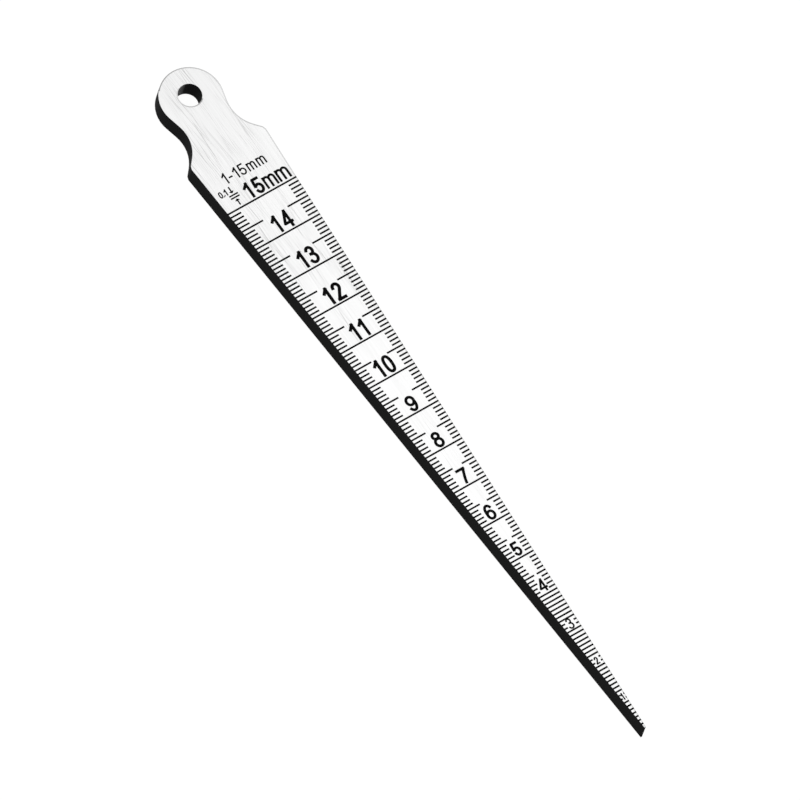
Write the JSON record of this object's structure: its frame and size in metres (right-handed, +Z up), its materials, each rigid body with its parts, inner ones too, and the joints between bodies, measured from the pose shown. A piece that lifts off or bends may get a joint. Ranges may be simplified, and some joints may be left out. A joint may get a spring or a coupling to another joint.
{
  "type": "taper gauge",
  "caption": "Flat steel taper gauge: a graduated blade whose width at each line equals its reading, with a necked handle and a round hanging hole.",
  "frame": {"origin": "middle of the plate's bounding box, on the face it lies on", "axes": "+X along the plate towards the tip, +Z up out of the graduated face, +Y across to the left when looking towards the tip"},
  "size_m": [0.1498, 0.0162, 0.0042],
  "materials": {
    "steel": "brushed along the blade, lines and numerals etched and blackened"
  },
  "bodies": {
    "root": {"gauge": "steel"}
  },
  "joints": []
}
